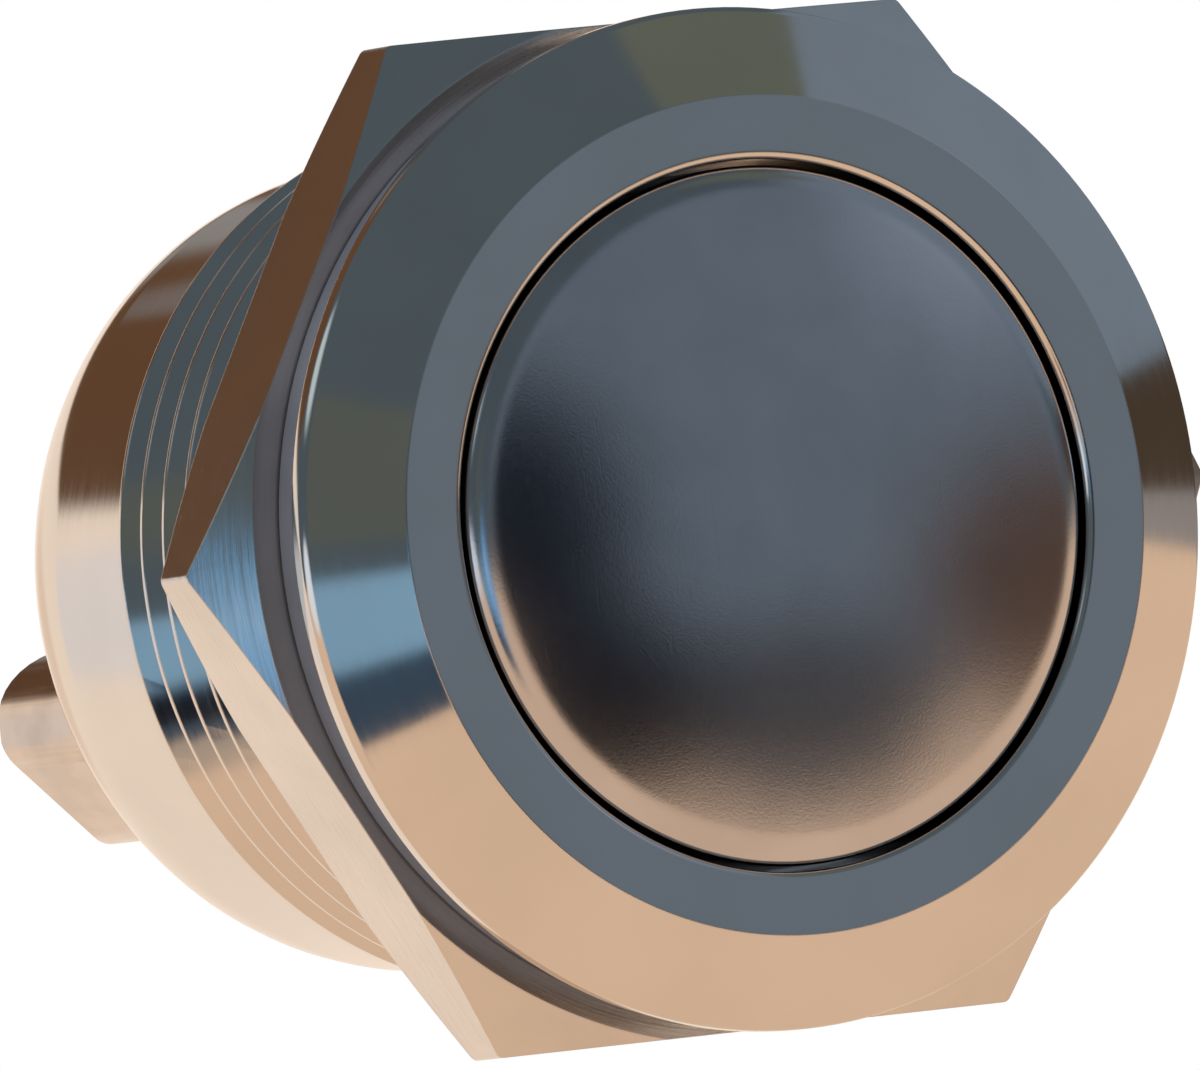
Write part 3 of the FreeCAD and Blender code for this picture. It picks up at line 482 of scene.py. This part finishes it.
class PUSHBUTTON_OT_nut(bpy.types.Operator):
    """Mills the hexagon and turns its two faces"""
    bl_idname = "pushbutton.nut"
    bl_label = "Nut"

    def execute(self, context):
        sizes = context.scene.pushbutton_sizes
        half, front, rear = NUT[1].z, NUT[0].y / MM, NUT[1].y / MM
        middle = (front + rear) / 2 * MM
        bpy.ops.object.select_all(action="DESELECT")
        bpy.ops.mesh.primitive_cylinder_add(vertices=6, radius=half / math.cos(math.pi / 6),
                                            depth=4 * MM, location=(0, middle, 0),
                                            rotation=(math.pi / 2, math.pi / 6, 0))
        piece = bpy.context.object
        piece.name = piece.data.name = "hex_nut_milled"
        bpy.ops.object.transform_apply(location=True, rotation=True, scale=True)
        bpy.ops.object.mode_set(mode="EDIT")
        bpy.ops.mesh.select_all(action="DESELECT")
        mesh = bmesh.from_edit_mesh(piece.data)
        for edge in mesh.edges:
            first, second = (v.co for v in edge.verts)
            if abs(first.y - second.y) > 3 * MM:
                edge.select_set(True)
        mesh.select_flush_mode()
        bmesh.update_edit_mesh(piece.data)
        bpy.ops.mesh.bevel(offset=0.12 * MM, segments=4, affect="EDGES")
        bpy.ops.object.mode_set(mode="OBJECT")
        # the lathe faces it, and cuts a cone off its corners in front and a steeper one behind
        bore, lead_in, face, reach = CREST + 0.05, 0.4, half / MM + 0.28, 12.9
        front_edge = front + (reach - face) * 0.44
        rear_edge = rear - (reach - face) * 0.53
        turning = turned("nut_turning", rounded_outline([
            (bore, front + lead_in, 0), (bore + lead_in, front, 0), (face, front, 0),
            (reach, front_edge, 0), (reach, rear_edge, 0),
            (face, rear, 0), (bore + lead_in, rear, 0), (bore, rear - lead_in, 0)]), sizes.steps)
        cut(piece, turning, "INTERSECT")
        smoothed(piece, 12)
        dressed(piece, "hex_nut", "nut", milled_nickel())
        return {"FINISHED"}


class PUSHBUTTON_OT_cap(bpy.types.Operator):
    """Turns the domed cap"""
    bl_idname = "pushbutton.cap"
    bl_label = "Cap"

    def execute(self, context):
        sizes = context.scene.pushbutton_sizes
        radius, top, rear = CAP[1].x / MM, CAP[0].y / MM, CAP[1].y / MM
        # the dome's rim, its rise above the rim, and where the edge has rolled off into the side
        crown, rise, side = radius - 0.72, 0.63, top + 1.06
        bend = (crown ** 2 + rise ** 2) / (2 * rise)
        slope = math.asin(crown / bend)
        points = []
        for step in range(25):
            # the dome's arc, from its middle to where the edge begins to roll off
            distance = crown * step / 24
            points.append(Vector((distance, top + bend - math.sqrt(bend ** 2 - distance ** 2))))
        # the edge leaves the dome without a crease, rolls off ever faster and ends along the side
        leaving = points[-1] + 0.4 * Vector((math.cos(slope), math.sin(slope)))
        arriving, end = Vector((radius, side - 0.24)), Vector((radius, side))
        points += interpolate_bezier(points[-1], leaving, arriving, end, 14)[1:]
        # behind: the wall, the plate, the boss and the hole for the plunger's spigot
        wall, plate, boss, boss_end, spigot, spigot_end = radius - 0.9, -0.6, 2.6, 1.4, 1.5, -0.8
        points += [Vector(corner) for corner in (
            (radius, rear), (wall, rear), (wall, plate), (boss, plate), (boss, boss_end),
            (spigot, boss_end), (spigot, spigot_end), (0, spigot_end))]
        piece = turned("button_cap_domed", points, sizes.steps)
        smoothed(piece)
        dressed(piece, "button_cap", "button", satin_steel())
        return {"FINISHED"}


class PUSHBUTTON_OT_terminals(bpy.types.Operator):
    """Shapes the two pillar terminals"""
    bl_idname = "pushbutton.terminals"
    bl_label = "Terminals"

    def execute(self, context):
        # the bars' plating is thinner than the body's, so a little of the brass shows through
        nickel = context.scene.pushbutton_colours.nickel
        tone = tuple(c * share for c, share in zip(nickel, (0.92, 0.84, 0.78)))
        finish = drawn_metal("nickel_plated_drawn_brass", tone, "Y", 0.16)
        for side, sign in (("left", -1), ("right", 1)):
            piece = terminal(side, sign)
            dressed(piece, "terminal_block_" + side, "switch_body", finish)
        return {"FINISHED"}


def select_edges_at(piece, places, reach):
    """Selects the edges along Y that pass near the given (x, z) places."""
    bpy.ops.mesh.select_all(action="DESELECT")
    mesh = bmesh.from_edit_mesh(piece.data)
    for edge in mesh.edges:
        first, second = (v.co for v in edge.verts)
        along = abs(first.y - second.y) > 2 * MM
        if along and any(math.hypot(first.x - x, first.z - z) < reach for x, z in places):
            edge.select_set(True)
    mesh.select_flush_mode()
    bmesh.update_edit_mesh(piece.data)


def terminal(side, sign):
    """A drawn bar: three broad rounded corners, the outer one cut, a wire hole and a screw bore."""
    low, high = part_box("terminal_block_" + side)
    middle, size = (low + high) / 2, high - low
    # how far the outer corner is cut back, and the sizes of the edge roundings
    cut_back, cut_rounding, corner_rounding = 2.06 * MM, 0.372 * MM, 1.45 * MM
    bpy.ops.object.select_all(action="DESELECT")
    bpy.ops.mesh.primitive_cube_add(size=1, location=middle)
    piece = bpy.context.object
    piece.name = piece.data.name = "terminal_pillar_" + side
    piece.scale = size
    bpy.ops.object.transform_apply(location=True, rotation=True, scale=True)
    outer = (middle.x + sign * size.x / 2, middle.z + sign * size.z / 2)
    square = [(middle.x - sign * size.x / 2, middle.z + sign * size.z / 2),
              (middle.x + sign * size.x / 2, middle.z - sign * size.z / 2),
              (middle.x - sign * size.x / 2, middle.z - sign * size.z / 2)]
    bpy.ops.object.mode_set(mode="EDIT")
    select_edges_at(piece, [outer], 0.1 * MM)
    bpy.ops.mesh.bevel(offset=cut_back, segments=1, affect="EDGES")
    cuts = [(outer[0] - sign * cut_back, outer[1]), (outer[0], outer[1] - sign * cut_back)]
    select_edges_at(piece, cuts, 0.2 * MM)
    bpy.ops.mesh.bevel(offset=cut_rounding, segments=6, affect="EDGES")
    select_edges_at(piece, square, 0.1 * MM)
    bpy.ops.mesh.bevel(offset=corner_rounding, segments=10, affect="EDGES")
    bpy.ops.object.mode_set(mode="OBJECT")
    # the wire hole from side to side, and the screw's bore from the rear down to it
    for radius, place, depth, turn in (
            (0.6, (middle.x, high.y - 4.75 * MM, middle.z), 8, (0, math.pi / 2, 0)),
            (1.25, (middle.x, high.y - 1.75 * MM, middle.z), 6, (math.pi / 2, 0, 0))):
        bpy.ops.object.select_all(action="DESELECT")
        bpy.ops.mesh.primitive_cylinder_add(vertices=64, radius=radius * MM, depth=depth * MM,
                                            location=place, rotation=turn)
        drill = bpy.context.object
        bpy.ops.object.transform_apply(location=True, rotation=True, scale=True)
        cut(piece, drill)
    apply(piece, "BEVEL", width=0.12 * MM, segments=3, limit_method="ANGLE",
          angle_limit=math.radians(40), use_clamp_overlap=True)
    smoothed(piece, 30)
    return piece


class PUSHBUTTON_OT_inside(bpy.types.Operator):
    """Gives the mechanism, seals, contacts, resin and screws their finishes"""
    bl_idname = "pushbutton.inside"
    bl_label = "Inner pieces and screws"

    def execute(self, context):
        # casting resin: glossy black with a slightly uneven skin from pouring
        repaint(["rear_potting"], moulded("epoxy_cast_black", linear("1B1A1C"), 2.5, 0.22, 0.06))
        # zinc plating on steel: a cool grey with a soft blur
        repaint(["terminal_screw_left", "terminal_screw_right"],
                drawn_metal("steel_zinc_plated", linear("B4B8BC"), "Y", 0.3))
        # bright steel: stem, washer, clip and guide pin
        repaint(["plunger", "seat_washer", "retaining_clip", "bridge_guide"],
                drawn_metal("stainless_steel_turned", linear("BDBAB6"), "X", 0.25))
        # natural acetal: off-white and slightly waxy
        repaint(["guide_bush"], moulded("acetal_moulded_natural", linear("E6E1D4"), 0.3, 0.4, 0.003))
        # nitrile rubber: matt black
        repaint(["stem_seal", "base_seal"],
                moulded("nitrile_rubber_moulded", linear("1A1A1B"), 0.1, 0.75, 0.004))
        # phenolic moulding: black with a dull gloss
        repaint(["contact_carrier", "base_insulator"],
                moulded("phenolic_moulded_black", linear("201E1E"), 0.25, 0.45, 0.004))
        # rolled brass strip
        repaint(["contact_bridge"], drawn_metal("brass_rolled", linear("D9B36A"), "X", 0.25))
        # silver-plated contact faces
        repaint(["bridge_tips", "fixed_contact_left", "fixed_contact_right"],
                drawn_metal("silver_plated_brass", linear("E3E0D8"), "Y", 0.2))
        return {"FINISHED"}


class PUSHBUTTON_OT_springs(bpy.types.Operator):
    """Winds the two springs, which move with the button at one length"""
    bl_idname = "pushbutton.springs"
    bl_label = "Springs"

    def execute(self, context):
        # drawn spring wire: a plain grey with faint lines
        wire = drawn_metal("spring_steel_drawn", linear("A9A8A6"), "Y", 0.3)
        for name, thick, joint, travel in (
                ("return_spring", 0.44, "button_press", 1.5),
                ("contact_spring", 0.28, "contact_float", 0.5)):
            steps = context.scene.pushbutton_sizes.steps // 2
            piece, front, length = wound(name, thick * MM, steps)
            dressed(piece, name, "button", wire)
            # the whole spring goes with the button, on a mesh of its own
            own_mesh(piece)
        return {"FINISHED"}


def wound(node, thick, steps):
    """A compression spring of round wire and three turns that fills its node's box."""
    low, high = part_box(node)
    length, turns = high.y - low.y, 3
    bpy.ops.object.select_all(action="DESELECT")
    bpy.ops.mesh.primitive_circle_add(vertices=16, radius=thick / 2,
                                      location=(high.x - thick / 2, low.y + thick / 2, 0))
    piece = bpy.context.object
    piece.name = piece.data.name = node + "_wound"
    bpy.ops.object.transform_apply(location=True, rotation=True, scale=True)
    apply(piece, "SCREW", axis="Y", angle=math.tau, screw_offset=(length - thick) / turns,
          iterations=turns, steps=steps, render_steps=steps, use_smooth_shade=False)
    bpy.ops.object.mode_set(mode="EDIT")
    bpy.ops.mesh.select_all(action="SELECT")
    bpy.ops.mesh.remove_doubles(threshold=1e-7)
    bpy.ops.mesh.fill_holes(sides=16)
    bpy.ops.mesh.select_all(action="SELECT")
    bpy.ops.mesh.normals_make_consistent(inside=False)
    bpy.ops.object.mode_set(mode="OBJECT")
    smoothed(piece, 40)
    return piece, low.y, length


# ---------------------------------------------------------------- stage

# Painted reflections: glowing tones that the metal mirrors, each an oval patch of the tent, which glows
# and
# is seen only in reflections: its middle as degrees to the right of the front and degrees up, its half
# width and half height in degrees, the share of them over which it fades, and its colour.
TENT_PATCHES = [
    ("brown_wall_behind", 180, 24, 34, 22, 0.2, "674A35"),
    ("grey_behind_right", 162, 22.5, 10, 9, 0.6, "918D8A"),
    ("grey_behind_high", 179, 30, 5, 4, 0.5, "7C736E"),
    ("pale_sheet_behind", 180, -8, 48, 26, 0.08, "FFECDA"),
    ("grey_sheet_behind", -150, -2, 6, 14, 0.4, "EFE7E4"),
    ("tan_sheet_middle", 178, -2, 14, 12, 0.6, "F0D5BF"),
    ("window_upper_left", -95, 33, 42, 13, 0.5, "C8D8DC"),
    ("blue_grey_wall", 88, 30, 50, 23, 0.08, "798796"),
    ("olive_ceiling", 46, 48, 10, 12, 0.1, "666C62"),
    ("front_slate", 29, 8, 34, 22, 0.12, "6D7986"),
    ("front_slate_right", 48, 17, 13, 11, 0.8, "8C97A8"),
    ("grey_right", 100, -1.4, 34, 3.2, 0.3, "96908E"),
    ("umber_right", 100, 4.2, 34, 5.0, 0.12, "4B3E32"),
    ("olive_left", -27, 11, 8, 9.5, 0.25, "5E645F"),
    ("grey_below_left", -32, -20, 5, 6, 0.5, "BCA998"),
    ("navy_under_window", -26, -13.5, 11, 6.5, 0.15, "3A4C5E"),
    ("navy_far_under_window", -31.5, -14.4, 4, 2.6, 0.4, "10151F"),
    ("window_far_left", -76, -3, 40, 9, 0.3, "EAF4FF"),
    ("window_left", -27, -6.3, 19, 6.3, 0.35, "86AECB"),
    ("window_inner", -18, -4, 7, 9, 0.35, "6DB2EA"),
    ("window_inner_glare", -19, -3, 4, 4.5, 0.8, "C6E6FF"),
    ("umber_front_right", 51, -4.5, 17, 11, 0.6, "5A463B"),
    ("umber_front_below", 29, -12, 14, 6.9, 0.3, "46474B"),
    ("navy_below_left", 12.5, -11, 12, 9.5, 0.45, "0A1019"),
    ("navy_left_of_front", 8, 1.5, 12, 15, 0.6, "0A121E"),
]


def direction(across, up):
    """Unit vector for an angle to the right of the front and an angle up."""
    a, b = math.radians(across), math.radians(up)
    return Vector((math.sin(a) * math.cos(b), -math.cos(a) * math.cos(b), math.sin(b)))


def tent_material():
    """A glowing surface of painted reflections: tan below, slate above, and the patches of the list over
    them.
    """
    material = bpy.data.materials.new("tent_of_painted_reflections")
    material.use_nodes = True
    tree = material.node_tree
    tree.nodes.clear()
    place = add(tree, "ShaderNodeTexCoord").outputs["Object"]
    ray = add(tree, "ShaderNodeVectorMath", {"operation": "NORMALIZE"}, {0: place}).outputs["Vector"]
    height = add(tree, "ShaderNodeSeparateXYZ", sockets={0: ray}).outputs["Z"]
    above = add(tree, "ShaderNodeMapRange", {"interpolation_type": "SMOOTHSTEP"}, {
        "Value": height, "From Min": -0.07, "From Max": -0.03})
    tan, slate = (*linear("EAC9AC"), 1), (*linear("525E66"), 1)
    colour = add(tree, "ShaderNodeMix", {"data_type": "RGBA"}, {
        "Factor": above.outputs[0], "A": tan, "B": slate}).outputs["Result"]
    for name, across, up, wide, high, fade, code in TENT_PATCHES:
        local = add(tree, "ShaderNodeMapping", {"vector_type": "TEXTURE"}, {
            "Vector": ray, "Location": direction(across, up),
            "Rotation": (-math.radians(up), 0, math.radians(across)),
            "Scale": (math.sin(math.radians(wide)), 1, math.sin(math.radians(high)))})
        far = add(tree, "ShaderNodeVectorMath", {"operation": "LENGTH"}, {0: local.outputs[0]})
        share = add(tree, "ShaderNodeMapRange", {"interpolation_type": "SMOOTHSTEP"}, {
            "Value": far.outputs["Value"], "From Min": 1.0, "From Max": 1 - fade})
        colour = add(tree, "ShaderNodeMix", {"data_type": "RGBA", "label": name}, {
            "Factor": share.outputs[0], "A": colour, "B": (*linear(code), 1)}).outputs["Result"]
    # the tent glows with these tones, and the metal shows them as painted reflections
    glow = add(tree, "ShaderNodeEmission", sockets={"Color": colour})
    add(tree, "ShaderNodeOutputMaterial", sockets={"Surface": glow.outputs[0]})
    return material


class PUSHBUTTON_OT_stage(bpy.types.Operator):
    """Sets the floor, the glowing tent of painted reflections, the lamps, the world and the camera"""
    bl_idname = "pushbutton.stage"
    bl_label = "Stage"

    def execute(self, context):
        scene = context.scene
        self.floor(scene)
        self.tent()
        self.lamps()
        self.world(scene)
        self.camera(scene)
        scene.view_settings.view_transform = "Standard"
        return {"FINISHED"}

    def floor(self, scene):
        bpy.ops.object.select_all(action="DESELECT")
        bpy.ops.mesh.primitive_circle_add(vertices=96, radius=1.2, fill_type="NGON",
                                          location=(0, 0, -0.025))
        floor = bpy.context.object
        floor.name = "studio_floor"
        bpy.ops.object.transform_apply(location=True, rotation=True, scale=True)
        # painted board: pale, matt and even
        colour = tuple(scene.pushbutton_colours.floor)
        floor.data.materials.append(moulded("painted_board_pale", colour, 0.5, 0.8, 0.005, 0.985))
        # the metal mirrors the tent's painted tan below instead of this floor
        floor.visible_glossy = False

    def tent(self):
        bpy.ops.object.select_all(action="DESELECT")
        bpy.ops.mesh.primitive_ico_sphere_add(subdivisions=5, radius=0.45)
        tent = bpy.context.object
        tent.name = "glowing_reflection_tent"
        bpy.ops.object.mode_set(mode="EDIT")
        bpy.ops.mesh.select_all(action="SELECT")
        bpy.ops.mesh.flip_normals()
        bpy.ops.object.mode_set(mode="OBJECT")
        tent.data.materials.append(tent_material())
        # seen only in reflections: the metal mirrors its painted tones
        tent.visible_camera = tent.visible_diffuse = tent.visible_shadow = False
        tent.visible_transmission = tent.visible_volume_scatter = False

    def lamps(self):
        for name, place, size, power in (
                ("lamp_above", (-0.25, -0.35, 0.5), 0.35, 1.5),
                ("lamp_behind", (0.3, 0.35, 0.35), 0.3, 0.7)):
            data = bpy.data.lights.new(name, "AREA")
            data.shape, data.size, data.energy = "DISK", size, power
            lamp = bpy.data.objects.new(name, data)
            lamp.location = place
            lamp.rotation_euler = (-Vector(place)).to_track_quat("-Z", "Y").to_euler()
            lamp.visible_glossy = False
            bpy.context.collection.objects.link(lamp)

    def world(self, scene):
        world = scene.world or bpy.data.worlds.new("studio_air")
        scene.world = world
        world.use_nodes = True
        tree = world.node_tree
        tree.nodes.clear()
        path = add(tree, "ShaderNodeLightPath")
        seen = add(tree, "ShaderNodeMath", {"operation": "MAXIMUM"}, {
            0: path.outputs["Is Camera Ray"], 1: path.outputs["Is Glossy Ray"]})
        seen = add(tree, "ShaderNodeMath", {"operation": "MAXIMUM"}, {
            0: seen.outputs[0], 1: path.outputs["Is Transmission Ray"]})
        strength = add(tree, "ShaderNodeMapRange", sockets={
            "Value": seen.outputs[0], "To Min": 0.5, "To Max": 1.0})
        air = add(tree, "ShaderNodeBackground", sockets={
            "Color": (1, 1, 1, 1), "Strength": strength.outputs[0]})
        add(tree, "ShaderNodeOutputWorld", sockets={"Surface": air.outputs[0]})

    def camera(self, scene):
        data = bpy.data.cameras.new("view_camera")
        data.sensor_width, data.lens = 36, 925.3
        data.clip_start, data.clip_end = 0.01, 10
        camera = bpy.data.objects.new("view_camera", data)
        # the place, the lens and the axes that fit the photograph's edges
        right = Vector((0.8707, -0.4793, -0.1107)).normalized()
        forward = Vector((0.4838, 0.875, 0.0165))
        up = right.cross(forward).normalized()
        forward = up.cross(right)
        camera.matrix_world = Matrix.Translation((-0.3226, -0.5771, -0.0109)) @ Matrix(
            (right, up, -forward)).transposed().to_4x4()
        bpy.context.collection.objects.link(camera)
        scene.camera = camera


OPERATORS = (PUSHBUTTON_OT_housing, PUSHBUTTON_OT_gasket, PUSHBUTTON_OT_nut, PUSHBUTTON_OT_cap,
             PUSHBUTTON_OT_terminals, PUSHBUTTON_OT_inside, PUSHBUTTON_OT_springs, PUSHBUTTON_OT_stage)


class PUSHBUTTON_PT_panel(bpy.types.Panel):
    """Lists the pushbutton's pieces, sizes and colours"""
    bl_idname = "PUSHBUTTON_PT_panel"
    bl_label = "Pushbutton"
    bl_space_type = "VIEW_3D"
    bl_region_type = "UI"
    bl_category = "Pushbutton"

    def draw(self, context):
        for group in (context.scene.pushbutton_sizes, context.scene.pushbutton_colours):
            for name in group.bl_rna.properties.keys():
                if name not in ("rna_type", "name"):
                    self.layout.prop(group, name)
        for operator in OPERATORS:
            self.layout.operator(operator.bl_idname)


CLASSES = (PushbuttonSizes, PushbuttonColours, *OPERATORS, PUSHBUTTON_PT_panel)


def register():
    for item in CLASSES:
        bpy.utils.register_class(item)
    bpy.types.Scene.pushbutton_sizes = PointerProperty(type=PushbuttonSizes)
    bpy.types.Scene.pushbutton_colours = PointerProperty(type=PushbuttonColours)


def unregister():
    del bpy.types.Scene.pushbutton_colours
    del bpy.types.Scene.pushbutton_sizes
    for item in reversed(CLASSES):
        bpy.utils.unregister_class(item)


def main():
    register()
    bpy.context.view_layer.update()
    bpy.ops.pushbutton.stage()
    bpy.ops.pushbutton.housing()
    bpy.ops.pushbutton.gasket()
    bpy.ops.pushbutton.nut()
    bpy.ops.pushbutton.cap()
    bpy.ops.pushbutton.terminals()
    bpy.ops.pushbutton.inside()
    bpy.ops.pushbutton.springs()


if __name__ == "__main__":
    main()
